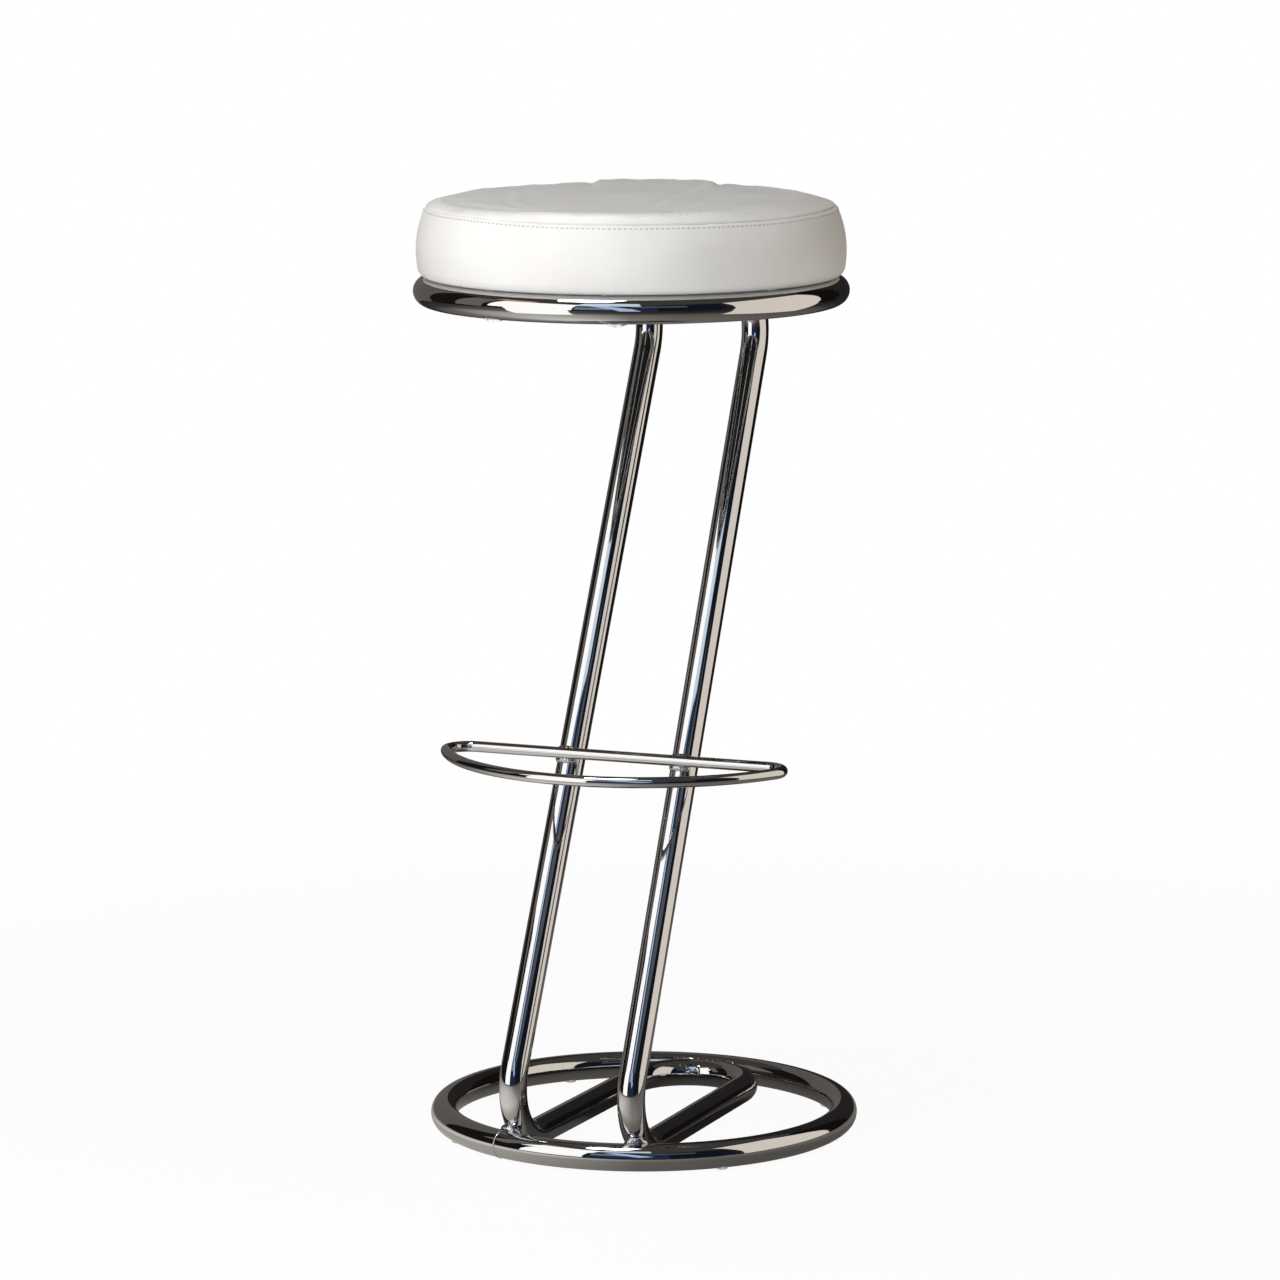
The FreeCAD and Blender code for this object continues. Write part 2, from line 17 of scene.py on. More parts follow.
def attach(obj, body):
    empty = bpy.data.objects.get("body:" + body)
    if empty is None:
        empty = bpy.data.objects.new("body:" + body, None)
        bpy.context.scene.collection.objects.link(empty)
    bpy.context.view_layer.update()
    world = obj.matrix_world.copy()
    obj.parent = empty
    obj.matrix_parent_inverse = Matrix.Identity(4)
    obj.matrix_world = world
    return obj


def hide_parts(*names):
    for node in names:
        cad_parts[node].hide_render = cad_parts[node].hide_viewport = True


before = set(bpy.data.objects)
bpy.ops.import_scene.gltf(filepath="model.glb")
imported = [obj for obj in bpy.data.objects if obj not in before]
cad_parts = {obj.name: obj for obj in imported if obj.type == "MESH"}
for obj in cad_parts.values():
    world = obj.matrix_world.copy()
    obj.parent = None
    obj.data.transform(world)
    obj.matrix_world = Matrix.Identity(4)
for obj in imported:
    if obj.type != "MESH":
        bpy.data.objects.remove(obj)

log = logging.getLogger("bar_stool")
MM = 0.001


def linear(code: str) -> tuple[float, float, float, float]:
    """Turns an sRGB hex colour to linear red, green, blue and a full alpha.

    Args:
        code: six hex digits, such as "ece9e3".

    Returns:
        The colour that a shader socket takes.
    """
    parts = [int(code[i : i + 2], 16) / 255 for i in (0, 2, 4)]
    lin = [p / 12.92 if p <= 0.04045 else ((p + 0.055) / 1.055) ** 2.4 for p in parts]
    return (lin[0], lin[1], lin[2], 1.0)


def feed(tree: bpy.types.NodeTree, node: bpy.types.Node, inputs: dict) -> None:
    """Sets or links a node's inputs.

    Args:
        tree: node tree of the material.
        node: node whose inputs are given.
        inputs: input socket name or number, and its value or the output it is linked from.
    """
    for name, value in inputs.items():
        if isinstance(value, bpy.types.NodeSocket):
            tree.links.new(value, node.inputs[name])
        else:
            node.inputs[name].default_value = value


def add_node(tree: bpy.types.NodeTree, kind: str, settings: dict | None = None,
             inputs: dict | None = None) -> bpy.types.Node:
    """Adds a shader node with its settings, input values and links.

    Args:
        tree: node tree of the material.
        kind: name of the node's type after "ShaderNode".
        settings: attributes of the node.
        inputs: inputs as feed takes them.

    Returns:
        The new node.
    """
    node = tree.nodes.new("ShaderNode" + kind)
    for name, value in (settings or {}).items():
        setattr(node, name, value)
    feed(tree, node, inputs or {})
    return node


def noise(tree: bpy.types.NodeTree, place: bpy.types.NodeSocket, size: float,
          detail: float = 2.0) -> bpy.types.NodeSocket:
    """Adds noise by the size of its grains in metres, and returns its value."""
    return add_node(tree, "TexNoise", inputs={
        "Vector": place, "Scale": 1 / size, "Detail": detail}).outputs["Fac"]


def spread(tree: bpy.types.NodeTree, value: bpy.types.NodeSocket, low: float, high: float,
           start: float = 0.0, end: float = 1.0) -> bpy.types.NodeSocket:
    """Turns a value that runs from start to end to one that runs from low to high."""
    return add_node(tree, "MapRange", inputs={
        "Value": value, "From Min": start, "From Max": end, "To Min": low,
        "To Max": high}).outputs["Result"]


def bump(tree: bpy.types.NodeTree, height: bpy.types.NodeSocket, distance: float,
         strength: float) -> bpy.types.NodeSocket:
    """Adds a bump by its depth in metres, and returns its normal."""
    return add_node(tree, "Bump", inputs={
        "Height": height, "Distance": distance, "Strength": strength}).outputs["Normal"]


def blend_ramp(tree: bpy.types.NodeTree, fac: bpy.types.NodeSocket,
               stops: list[tuple[float, tuple]]) -> bpy.types.NodeSocket:
    """Adds a colour ramp and returns its colour.

    Args:
        tree: node tree of the material.
        fac: value that the ramp reads.
        stops: positions and colours, in order.

    Returns:
        The colour output.
    """
    node = add_node(tree, "ValToRGB", inputs={"Fac": fac})
    ramp = node.color_ramp
    while len(ramp.elements) < len(stops):
        ramp.elements.new(0.5)
    for element, (place, colour) in zip(ramp.elements, stops):
        element.position = place
        element.color = colour
    return node.outputs["Color"]


class Finish:
    """A finish is a material made from nodes, built once and shared by its pieces."""

    title: str = ""

    def shade(self, tree: bpy.types.NodeTree, shader: bpy.types.Node) -> None:
        """Adds the nodes that drive the surface shader."""
        raise NotImplementedError

    def material(self) -> bpy.types.Material:
        """Returns the finish's material, made at its first use."""
        found = bpy.data.materials.get(self.title)
        if found:
            return found
        made = bpy.data.materials.new(self.title)
        made.use_nodes = True
        self.shade(made.node_tree, made.node_tree.nodes["Principled BSDF"])
        return made


def object_coordinates(tree: bpy.types.NodeTree) -> bpy.types.NodeSocket:
    """Adds the object's own coordinates, in metres."""
    return add_node(tree, "TexCoord").outputs["Object"]


@dataclass(frozen=True)
class ChromePlate(Finish):
    """Bright chrome on polished steel tube: nearly a mirror, a little neutral-cool."""

    title: str = "polished chrome plating"
    colour: str = "c6c7c8"
    roughness: float = 0.035
    ripple_size: float = 28 * MM
    ripple_depth: float = 0.10 * MM

    def shade(self, tree: bpy.types.NodeTree, shader: bpy.types.Node) -> None:
        """Mirror metal with the slow ripple that polishing leaves in tube."""
        place = object_coordinates(tree)
        haze = noise(tree, place, 60 * MM)
        ripple = noise(tree, place, self.ripple_size, 1.0)
        feed(tree, shader, {
            "Base Color": linear(self.colour), "Metallic": 1.0,
            "Roughness": spread(tree, haze, self.roughness * 0.7, self.roughness * 1.5),
            "Normal": bump(tree, ripple, self.ripple_depth, 0.4)})


@dataclass(frozen=True)
class WeldChrome(Finish):
    """Chrome over weld metal: as bright as the tube, but lumpy with the weld's ripples."""

    title: str = "chrome plated weld"
    colour: str = "c6c7c8"
    lump_size: float = 2.6 * MM

    def shade(self, tree: bpy.types.NodeTree, shader: bpy.types.Node) -> None:
        """Mirror metal bent by the frozen ripples of the weld pool."""
        lumps = noise(tree, object_coordinates(tree), self.lump_size)
        feed(tree, shader, {
            "Base Color": linear(self.colour), "Metallic": 1.0, "Roughness": 0.09,
            "Normal": bump(tree, lumps, 1.2 * MM, 0.7)})


@dataclass(frozen=True)
class WhiteLeather(Finish):
    """Pigmented, embossed leather: an even warm white with a fine pebble and a satin gloss."""

    title: str = "white pigmented leather"
    light: str = "f1f0ed"
    dark: str = "ebe9e5"
    pebble: float = 1.3 * MM

    def shade(self, tree: bpy.types.NodeTree, shader: bpy.types.Node) -> None:
        """Slight blotches of colour, pebble grain and pores."""
        place = object_coordinates(tree)
        blotch = noise(tree, place, 70 * MM, 3.0)
        colour = blend_ramp(tree, blotch,
                            [(0.3, linear(self.dark)), (0.7, linear(self.light))])
        cells = add_node(tree, "TexVoronoi", {"feature": "DISTANCE_TO_EDGE"},
                         {"Vector": place, "Scale": 1 / self.pebble})
        grain = spread(tree, cells.outputs["Distance"], 0.0, 1.0, end=0.22)
        feed(tree, shader, {
            "Base Color": colour, "Roughness": spread(tree, blotch, 0.42, 0.52),
            "IOR": 1.5, "Normal": bump(tree, grain, 0.12 * MM, 0.35)})


@dataclass(frozen=True)
class SewingThread(Finish):
    """Bonded polyester thread: pale, a little darker than the leather, with its twist."""

    title: str = "bonded polyester thread"
    colour: str = "cfccc6"

    def shade(self, tree: bpy.types.NodeTree, shader: bpy.types.Node) -> None:
        """Plies laid round the thread as slanting bands."""
        place = object_coordinates(tree)
        plies = add_node(tree, "TexWave", {"bands_direction": "DIAGONAL"},
                         {"Vector": place, "Scale": 1 / (1.2 * MM), "Distortion": 0.4})
        colour = blend_ramp(tree, plies.outputs["Fac"],
                            [(0.2, linear("b5b1ab")), (0.8, linear(self.colour))])
        feed(tree, shader, {"Base Color": colour, "Roughness": 0.6})


@dataclass(frozen=True)
class MouldedNylon(Finish):
    """Natural nylon glide: milky, slightly see-through, with a moulded satin skin."""

    title: str = "moulded natural nylon"
    colour: str = "e9e9e4"

    def shade(self, tree: bpy.types.NodeTree, shader: bpy.types.Node) -> None:
        """Milky body scuffed by the floor."""
        scuff = noise(tree, object_coordinates(tree), 1.5 * MM, 4.0)
        colour = blend_ramp(tree, scuff,
                            [(0.3, linear("d9d9d2")), (0.65, linear(self.colour))])
        feed(tree, shader, {
            "Base Color": colour, "Roughness": spread(tree, scuff, 0.3, 0.5),
            "IOR": 1.53, "Transmission Weight": 0.6})


@dataclass(frozen=True)
class BirchPlywood(Finish):
    """Raw birch plywood: pale face grain along X, darker glue lines every ply."""

    title: str = "raw birch plywood"
    ply: float = 1.5 * MM

    def shade(self, tree: bpy.types.NodeTree, shader: bpy.types.Node) -> None:
        """Long grain on the faces and plies at the edge."""
        place = object_coordinates(tree)
        stretched = add_node(tree, "Mapping", inputs={
            "Vector": place, "Scale": (1 / (90 * MM), 1 / (4 * MM), 1 / (4 * MM))})
        grain = add_node(tree, "TexNoise", inputs={
            "Vector": stretched.outputs["Vector"], "Scale": 1.0, "Detail": 5.0})
        face = blend_ramp(tree, grain.outputs["Fac"],
                          [(0.3, linear("c9a877")), (0.7, linear("dfc49a"))])
        height = add_node(tree, "SeparateXYZ", inputs={"Vector": place})
        step = add_node(tree, "Math", {"operation": "PINGPONG"},
                        {0: height.outputs["Z"], 1: self.ply})
        line = spread(tree, step.outputs["Value"], 0.0, 1.0, end=0.25 * self.ply)
        colour = add_node(tree, "Mix", {"data_type": "RGBA"}, {
            "Factor": line, "A": linear("8f6d42"), "B": face})
        feed(tree, shader, {
            "Base Color": colour.outputs["Result"], "Roughness": 0.65,
            "Normal": bump(tree, grain.outputs["Fac"], 0.2 * MM, 0.3)})


@dataclass(frozen=True)
class SpunbondCloth(Finish):
    """Black spunbond dust cover: matt fibres pressed together in a grid of small points."""

    title: str = "black spunbond cloth"
    pitch: float = 2.0 * MM

    def shade(self, tree: bpy.types.NodeTree, shader: bpy.types.Node) -> None:
        """Fibres between shiny pressed points."""
        place = object_coordinates(tree)
        points = add_node(tree, "TexVoronoi", inputs={
            "Vector": place, "Scale": 1 / self.pitch, "Randomness": 0.0})
        pressed = spread(tree, points.outputs["Distance"], 0.0, 1.0, 0.2, 0.35)
        colour = blend_ramp(tree, noise(tree, place, 0.8 * MM, 4.0),
                            [(0.3, linear("1b1b1c")), (0.75, linear("333334"))])
        feed(tree, shader, {
            "Base Color": colour, "Roughness": spread(tree, pressed, 0.55, 0.95),
            "Normal": bump(tree, pressed, 0.2 * MM, 0.6)})


@dataclass(frozen=True)
class ZincSteel(Finish):
    """Bright zinc on small steel parts: greyer and softer than chrome, with a faint mottle."""

    title: str = "bright zinc plated steel"

    def shade(self, tree: bpy.types.NodeTree, shader: bpy.types.Node) -> None:
        """Cloudy grey metal."""
        clouds = noise(tree, object_coordinates(tree), 3 * MM, 3.0)
        colour = blend_ramp(tree, clouds,
                            [(0.3, linear("aeb0b2")), (0.7, linear("cfd0ce"))])
        feed(tree, shader, {
            "Base Color": colour, "Roughness": spread(tree, clouds, 0.24, 0.4),
            "Metallic": 1.0})


def dress(piece: bpy.types.Object, finish: Finish) -> None:
    """Gives a whole piece one finish.

    Args:
        piece: mesh object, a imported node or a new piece.
        finish: the finish it takes.
    """
    slots = piece.data.materials
    if len(slots) == 0:
        slots.append(finish.material())
    for index in range(len(slots)):
        slots[index] = finish.material()


def settle(piece: bpy.types.Object) -> None:
    """Rides a finished piece on the frame and logs its face count.

    Args:
        piece: new mesh object at the origin.
    """
    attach(piece, "root")
    log.info("%s: %d faces", piece.name, len(piece.data.polygons))


def select_only(piece: bpy.types.Object) -> None:
    """Deselects everything and makes one object the active one."""
    bpy.ops.object.select_all(action="DESELECT")
    piece.select_set(True)
    bpy.context.view_layer.objects.active = piece


def apply_modifier(piece: bpy.types.Object, kind: str, **settings: object) -> None:
    """Adds a modifier, sets it and applies it.

    Args:
        piece: object that gets it.
        kind: the modifier's type.
        **settings: its settings.
    """
    select_only(piece)
    modifier = piece.modifiers.new(kind.title(), kind)
    for name, value in settings.items():
        setattr(modifier, name, value)
    bpy.ops.object.modifier_apply(modifier=modifier.name)


def coordinates(piece: bpy.types.Object) -> np.ndarray:
    """Vertex places of a mesh as rows of x, y, z."""
    places = np.empty(len(piece.data.vertices) * 3)
    piece.data.vertices.foreach_get("co", places)
    return places.reshape(-1, 3)


def move_vertices(piece: bpy.types.Object, places: np.ndarray) -> None:
    """Writes vertex places back to a mesh."""
    piece.data.vertices.foreach_set("co", places.ravel())
    piece.data.update()


def arc_points(start: tuple, middle: tuple, end: tuple, steps: int) -> list[tuple]:
    """Points along the circle through three points of a profile.

    Args:
        start: radius and height of the first point.
        middle: a point between.
        end: the last point.
        steps: number of chords.

    Returns:
        The points after the start, with the end as the last one.
    """
    (ax, az), (bx, bz), (cx, cz) = start, middle, end
    d = 2 * (ax * (bz - cz) + bx * (cz - az) + cx * (az - bz))
    a2, b2, c2 = ax * ax + az * az, bx * bx + bz * bz, cx * cx + cz * cz
    ux = (a2 * (bz - cz) + b2 * (cz - az) + c2 * (az - bz)) / d
    uz = (a2 * (cx - bx) + b2 * (ax - cx) + c2 * (bx - ax)) / d
    radius = math.hypot(ax - ux, az - uz)
    first = math.atan2(az - uz, ax - ux)
    sweep = (math.atan2(cz - uz, cx - ux) - first + math.pi) % (2 * math.pi) - math.pi
    return [(ux + radius * math.cos(first + sweep * i / steps),
             uz + radius * math.sin(first + sweep * i / steps))
            for i in range(1, steps + 1)]


@dataclass
class Fold:
    """Soft line in the crown's leather: points on it, from the seat's axis, and its size."""

    points: tuple[tuple[float, float], ...]
    height: float
    width: float

    def lift(self, x: np.ndarray, y: np.ndarray) -> np.ndarray:
        """Rise on the left of the line and fall on its right.

        Args:
            x: places across the seat.
            y: places along it.

        Returns:
            How far each place is lifted.
        """
        best = np.full(len(x), 1.0)
        side = np.zeros(len(x))
        fade = np.zeros(len(x))
        last = len(self.points) - 2
        for index, ((ax, ay), (bx, by)) in enumerate(zip(self.points, self.points[1:])):
            dx, dy = bx - ax, by - ay
            size = math.hypot(dx, dy)
            along = ((x - ax) * dx + (y - ay) * dy) / size ** 2
            kept = np.clip(along, 0, 1)
            gap = np.hypot(x - ax - kept * dx, y - ay - kept * dy)
            closer = gap < best
            best = np.where(closer, gap, best)
            side = np.where(closer, np.sign((x - ax) * -dy + (y - ay) * dx), side)
            ends = np.ones(len(x))
            if index == 0:
                ends = ends * np.clip(along * size / (25 * MM), 0, 1)
            if index == last:
                ends = ends * np.clip((1 - along) * size / (25 * MM), 0, 1)
            fade = np.where(closer, ends, fade)
        ratio = side * best / self.width
        return self.height * 2.3 * ratio * np.exp(-ratio ** 2) * fade


@dataclass
class SeatCushion:
    """Padded seat: a leather crown sewn to a bulging band that is pulled under the board."""

    axis: tuple[float, float] = (0.0, -12.75 * MM)
    bottom: float = 784.2 * MM
    board_radius: float = 182 * MM
    board_top: float = 797.4 * MM
    hem_radius: float = 157 * MM
    tuck: tuple[float, float] = (183.6 * MM, 0.0)
    foot: tuple[float, float] = (191.2 * MM, 7.2 * MM)
    bulge: tuple[float, float] = (192.6 * MM, 23.0 * MM)
    seam: tuple[float, float] = (183.8 * MM, 62.6 * MM)
    front_rim: tuple[tuple[float, float], ...] = (
        (181.2, 66.2), (178.4, 69.1), (176.6, 70.2), (174.4, 70.7),
        (167.0, 70.2), (158.0, 70.0), (140.0, 70.3))
    side_rim: tuple[tuple[float, float], ...] = (
        (180.0, 65.0), (175.0, 66.8), (170.0, 68.2), (165.0, 69.4),
        (160.0, 70.4), (152.0, 71.2), (140.0, 71.4))
    crown: float = 73.2 * MM
    shrink: float = 2.5 * MM
    voxel: float = 3.8 * MM
    cap: float = 7 * MM
    cloth: dict[str, float] = field(default_factory=lambda: {
        "quality": 6, "mass": 0.3, "tension_stiffness": 30, "compression_stiffness": 30,
        "shear_stiffness": 8, "bending_stiffness": 0.4, "use_pressure": True,
        "uniform_pressure_force": 4.0, "shrink_min": -0.015, "shrink_max": -0.015})
    cloth_steps: int = 20
    wrinkle_limit: float = 0.75 * MM
    band_calm: float = 0.25
    seam_depth: float = 2.0 * MM
    seam_half_width: float = 1.4 * MM
    sag: float = 2.0 * MM
    rim_dip: float = 1.7 * MM
    crease_run: float = 112.7
    hump_left: float = -36 * MM
    hump_right: float = 80 * MM
    hump_slope: float = 7 * MM
    hump_height: float = 2.6 * MM
    hump_start: float = 60 * MM
    notch_depth: float = 1.2 * MM
    notch_width: float = 4.0 * MM
    folds: list[Fold] = field(default_factory=lambda: [
        Fold(((0.022, 0.138), (0.041, 0.038), (0.066, -0.112)), 0.9 * MM, 9 * MM),
        Fold(((0.086, -0.020), (0.097, -0.133)), 0.5 * MM, 8 * MM),
        Fold(((-0.125, 0.020), (-0.074, -0.097), (-0.030, -0.150)), 0.5 * MM, 7 * MM),
    ])

    def profile(self, shape: tuple[tuple[float, float], ...],
                inset: float = 0.0) -> list[tuple[float, float]]:
        """Outline of the skin from its tucked edge up to the crown's middle.

        Args:
            shape: the rim from the seam inwards, in millimetres.
            inset: how far the outline is drawn in.

        Returns:
            Radii and heights above the seat ring.
        """
        rise, corner, round_off, dip, slope, crest, valley = [
            (radius * MM, height * MM) for radius, height in shape]
        rounding = ((self.foot[0] + self.tuck[0]) / 2 + 1.1 * MM,
                    (self.foot[1] + self.tuck[1]) / 2 - 1.1 * MM)
        rim = ((valley[0] + crest[0]) / 2, (valley[1] + crest[1]) / 2 - 0.1 * MM)
        dome = (valley[0] / 2, (self.crown + valley[1]) / 2 + 0.25 * MM)
        points = [self.tuck]
        points += arc_points(self.tuck, rounding, self.foot, 4)
        points += arc_points(self.foot, self.bulge, self.seam, 12)
        points += arc_points(self.seam, rise, corner, 5)
        points += arc_points(corner, round_off, dip, 4)
        points += arc_points(dip, slope, crest, 4)
        points += arc_points(crest, rim, valley, 4)
        points += arc_points(valley, dome, (0.0, self.crown), 10)
        drawn = []
        for radius, height in points:
            drawn.append((max(radius - inset * min(1.0, radius / crest[0]), 0.0),
                          height - inset * (height > self.seam[1] * 0.9)))
        return drawn

    def turn_form(self) -> bpy.types.Object:
        """Turns the closed form by raising one ring of the outline after another."""
        outline = self.profile(self.front_rim, self.shrink)
        start = self.hem_radius / 2
        bpy.ops.object.select_all(action="DESELECT")
        bpy.ops.mesh.primitive_circle_add(
            vertices=192, radius=start, fill_type="NGON",
            location=(self.axis[0], self.axis[1], self.bottom))
        form = bpy.context.object
        form.name = "seat_cushion"
        bpy.ops.object.transform_apply(location=True, rotation=False, scale=False)
        bpy.ops.object.mode_set(mode="EDIT")
        bpy.ops.mesh.select_all(action="SELECT")
        radius, height = start, 0.0
        centre = Vector((self.axis[0], self.axis[1], self.bottom))
        for next_radius, next_height in outline[:-1]:
            bpy.ops.mesh.extrude_edges_move(
                TRANSFORM_OT_translate={"value": (0, 0, next_height - height)})
            ratio = next_radius / radius
            bpy.ops.transform.resize(value=(ratio, ratio, 1), center_override=centre)
            radius, height = next_radius, next_height
        bpy.ops.mesh.edge_face_add()
        bpy.ops.mesh.select_all(action="SELECT")
        bpy.ops.mesh.normals_make_consistent(inside=False)
        bpy.ops.object.mode_set(mode="OBJECT")
        return form

    def polar(self, places: np.ndarray) -> tuple[np.ndarray, np.ndarray, np.ndarray]:
        """Radius, turn and height of points about the seat's axis.

        Args:
            places: rows of x, y, z.

        Returns:
            Radii, angles in radians and heights above the seat ring.
        """
        x, y = places[:, 0] - self.axis[0], places[:, 1] - self.axis[1]
        return np.hypot(x, y), np.arctan2(y, x), places[:, 2] - self.bottom

    def facing(self, turn: np.ndarray, middle: float, full: float,
               none: float) -> np.ndarray:
        """Soft share, from 1 round one side of the seat to 0 away from it.

        Args:
            turn: angles about the seat's axis, in radians.
            middle: middle of the side, in degrees.
            full: half the angle with a share of 1.
            none: half the angle outside which the share is 0.

        Returns:
            The share at each angle.
        """
        off = np.abs((np.degrees(turn) - middle + 180) % 360 - 180)
        share = np.clip((none - off) / (none - full), 0, 1)
        return share * share * (3 - 2 * share)

    def sink(self, turn: np.ndarray, height: np.ndarray) -> np.ndarray:
        """How far the seam and the skin round it hang lower at the front."""
        below = np.clip((height - self.seam[1] + 22 * MM) / (22 * MM), 0, 1)
        above = np.clip((self.seam[1] + 7 * MM - height) / (7 * MM), 0, 1)
        near = np.minimum(below, above)
        return self.sag * near * near * (3 - 2 * near) * self.facing(turn, -57, 30, 65)

    def fold(self, form: bpy.types.Object) -> None:
        """Raises the fuller leather at the back between two creases, and lays the folds."""
        places = coordinates(form)
        radius, turn, height = self.polar(places)
        on_top = np.clip((height - self.seam[1]) / (4 * MM), 0, 1)
        x, y = places[:, 0] - self.axis[0], places[:, 1] - self.axis[1]
        run = math.radians(self.crease_run)
        across = x * math.sin(run) - y * math.cos(run)
        along = x * math.cos(run) + y * math.sin(run)
        hump = (np.clip((across - self.hump_left) / self.hump_slope, 0, 1)
                * np.clip((self.hump_right - across) / self.hump_slope, 0, 1))
        risen = np.clip((along - self.hump_start) / (60 * MM), 0, 1)
        lift = self.hump_height * hump * risen
        for edge in (self.hump_left, self.hump_right):
            notch = np.exp(-((across - edge) / self.notch_width) ** 2)
            lift -= self.notch_depth * notch * np.clip((along - 80 * MM) / (50 * MM), 0, 1)
        on_rim = np.clip((radius - 150 * MM) / (15 * MM), 0, 1)
        lift -= self.rim_dip * on_rim * self.facing(turn, -122, 12, 38)
        for fold in self.folds:
            lift += fold.lift(x, y)
        places[:, 2] += lift * on_top
        move_vertices(form, places)

    def plump(self, form: bpy.types.Object) -> None:
        """Lets the leather swell over the foam as cloth under pressure, and keeps its wrinkles."""
        scene = bpy.context.scene
        start = coordinates(form)
        radius, _, height = self.polar(start)
        held = form.vertex_groups.new(name="held")
        low = [int(i) for i in np.nonzero((height < 4 * MM) & (radius < 187 * MM))[0]]
        held.add(low, 1.0, "REPLACE")
        cloth = form.modifiers.new("Cloth", "CLOTH")
        for name, value in self.cloth.items():
            setattr(cloth.settings, name, value)
        cloth.settings.vertex_group_mass = "held"
        cloth.settings.effector_weights.gravity = 0.0
        cloth.collision_settings.use_collision = False
        cloth.point_cache.frame_start = 1
        cloth.point_cache.frame_end = self.cloth_steps
        for step in range(1, self.cloth_steps + 1):
            scene.frame_set(step)
        select_only(form)
        bpy.ops.object.modifier_apply(modifier=cloth.name)
        scene.frame_set(1)
        moved = coordinates(form) - start
        far = np.linalg.norm(moved, axis=1)
        moved *= np.minimum(1.0, self.cap / np.maximum(far, 1e-9))[:, None]
        move_vertices(form, start + moved)
        log.info("leather moved by up to %.1f mm", far.max() / MM)

    def fit_outline(self, form: bpy.types.Object) -> None:
        """Brings the swollen form to the cushion's measured outline, wrinkles kept."""
        places = coordinates(form)
        radius, turn, height = self.polar(places)
        line = np.array([(0.0, 0.0)] + self.profile(self.front_rim))
        side = np.array([(0.0, 0.0)] + self.profile(self.side_rim))
        knots, side_knots = [line[0]], [side[0]]
        for a, b, c, d in zip(line, line[1:], side, side[1:]):
            steps = max(1, int(np.linalg.norm(b - a) / (0.5 * MM)))
            for step in range(1, steps + 1):
                knots.append(a + (b - a) * step / steps)
                side_knots.append(c + (d - c) * step / steps)
        knots, side_knots = np.array(knots), np.array(side_knots)
        ahead = np.roll(knots, -1, 0) - np.roll(knots, 1, 0)
        ahead[0], ahead[-1] = knots[1] - knots[0], knots[-1] - knots[-2]
        ahead /= np.linalg.norm(ahead, axis=1)[:, None]
        outward = np.stack([ahead[:, 1], -ahead[:, 0]], 1)
        spots = np.stack([radius, height], 1)
        nearest = np.empty(len(spots), int)
        for first in range(0, len(spots), 4000):
            part = spots[first : first + 4000]
            gaps = ((part[:, None, :] - knots[None, :, :]) ** 2).sum(2)
            nearest[first : first + 4000] = gaps.argmin(1)
        proud = ((spots - knots[nearest]) * outward[nearest]).sum(1)
        cells = nearest // 8
        total = np.bincount(cells, proud, cells.max() + 1)
        count = np.maximum(np.bincount(cells, minlength=cells.max() + 1), 1)
        mean = total / count
        smooth = np.convolve(np.pad(mean, 2, mode="edge"), np.ones(5) / 5, mode="valid")
        average = np.interp(nearest / 8.0 - 0.5, np.arange(len(smooth)), smooth)
        limit = self.wrinkle_limit
        wrinkle = limit * np.tanh((proud - average) / (3 * limit))
        on_band = np.clip((70 * MM - height) / (8 * MM), 0, 1)
        wrinkle *= 1 - (1 - self.band_calm) * on_band
        wrinkle *= np.clip((height - 2 * MM) / (12 * MM), 0, 1)
        softer = 1 - self.facing(turn, -97, 45, 80)
        fitted = knots[nearest] + outward[nearest] * wrinkle[:, None]
        fitted += (side_knots - knots)[nearest] * softer[:, None]
        log.info("wrinkles from %.1f to %.1f mm", wrinkle.min() / MM, wrinkle.max() / MM)
        places[:, 0] = self.axis[0] + fitted[:, 0] * np.cos(turn)
        places[:, 1] = self.axis[1] + fitted[:, 0] * np.sin(turn)
        places[:, 2] = self.bottom + np.maximum(fitted[:, 1], 0)
        move_vertices(form, places)

    def sew_seam(self, form: bpy.types.Object) -> None:
        """Cuts the line on which crown and band meet and draws it in."""
        select_only(form)
        bpy.ops.object.mode_set(mode="EDIT")
        level = self.bottom + self.seam[1]
        for step in (-1.0, -0.5, 0.0, 0.5, 1.0):
            bpy.ops.mesh.select_all(action="SELECT")
            bpy.ops.mesh.bisect(
                plane_co=(0, 0, level + step * self.seam_half_width), plane_no=(0, 0, 1))
        bpy.ops.object.mode_set(mode="OBJECT")
        places = coordinates(form)
        radius, turn, height = self.polar(places)
        away = np.abs(height - self.seam[1]) / self.seam_half_width
        pull = self.seam_depth * np.clip(1 - away, 0, 1) ** 1.3
        pull *= radius > self.seam[0] - 12 * MM
        places[:, 0] -= pull * np.cos(turn)
        places[:, 1] -= pull * np.sin(turn)
        places[:, 2] -= self.sink(turn, height)
        move_vertices(form, places)

    def hollow(self, form: bpy.types.Object) -> None:
        """Opens the underside inside the hem and clears the room of the board."""
        cutters = []
        for radius, low, high in (
                (self.hem_radius, self.bottom - 10 * MM, self.bottom + 5 * MM),
                (self.board_radius + 0.3 * MM, self.bottom + 1.0 * MM,
                 self.board_top + 1.6 * MM)):
            bpy.ops.object.select_all(action="DESELECT")
            bpy.ops.mesh.primitive_cylinder_add(
                vertices=160, radius=radius, depth=high - low,
                location=(self.axis[0], self.axis[1], (low + high) / 2))
            cutters.append(bpy.context.object)
        for cutter in cutters:
            apply_modifier(form, "BOOLEAN", operation="DIFFERENCE", solver="EXACT",
                           object=cutter)
        for cutter in cutters:
            bpy.data.objects.remove(cutter)

